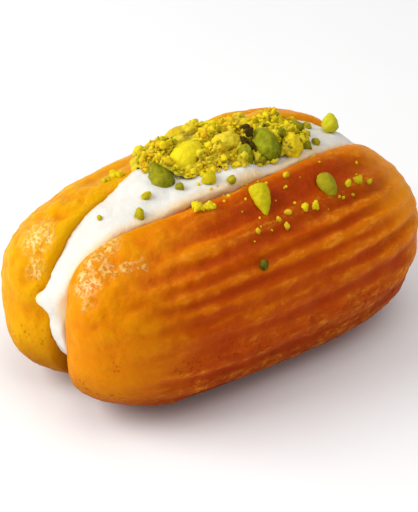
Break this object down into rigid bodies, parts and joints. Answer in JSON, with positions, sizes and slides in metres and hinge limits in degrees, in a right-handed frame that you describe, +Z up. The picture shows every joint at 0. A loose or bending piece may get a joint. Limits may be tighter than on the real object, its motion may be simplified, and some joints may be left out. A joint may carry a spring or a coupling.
{
  "type": "filled fried pastry",
  "caption": "Short star-piped fried choux pastry in a syrup glaze, slit along the top, filled with cream and strewn with chopped pistachio.",
  "frame": {"origin": "in the plane the pastry rests on, under the middle of its bounding box", "axes": "+X along the pastry, away from the end that shows the crease; +Z up; the front half is on the -Y side"},
  "size_m": [0.084, 0.0548, 0.0442],
  "materials": {
    "glazed_dough": "golden fried crust under a clear syrup glaze",
    "cream": "smooth whipped cream, softly shiny",
    "chopped_pistachio": "dry crumbly chopped nut, yellow to green",
    "green_kernel": "cut nut kernels, olive green to yellow"
  },
  "bodies": {
    "root": {"pastry": "glazed_dough", "cream": "cream", "pistachio_heap": "chopped_pistachio", "kernel_dark_end": "green_kernel", "kernel_teardrop": "green_kernel", "kernel_long": "green_kernel", "kernel_lump": "green_kernel", "kernel_rough": "green_kernel", "kernel_small": "green_kernel", "kernel_cluster": "green_kernel", "kernel_wedge": "green_kernel", "kernel_leaf": "green_kernel", "kernel_far": "green_kernel"}
  },
  "joints": []
}
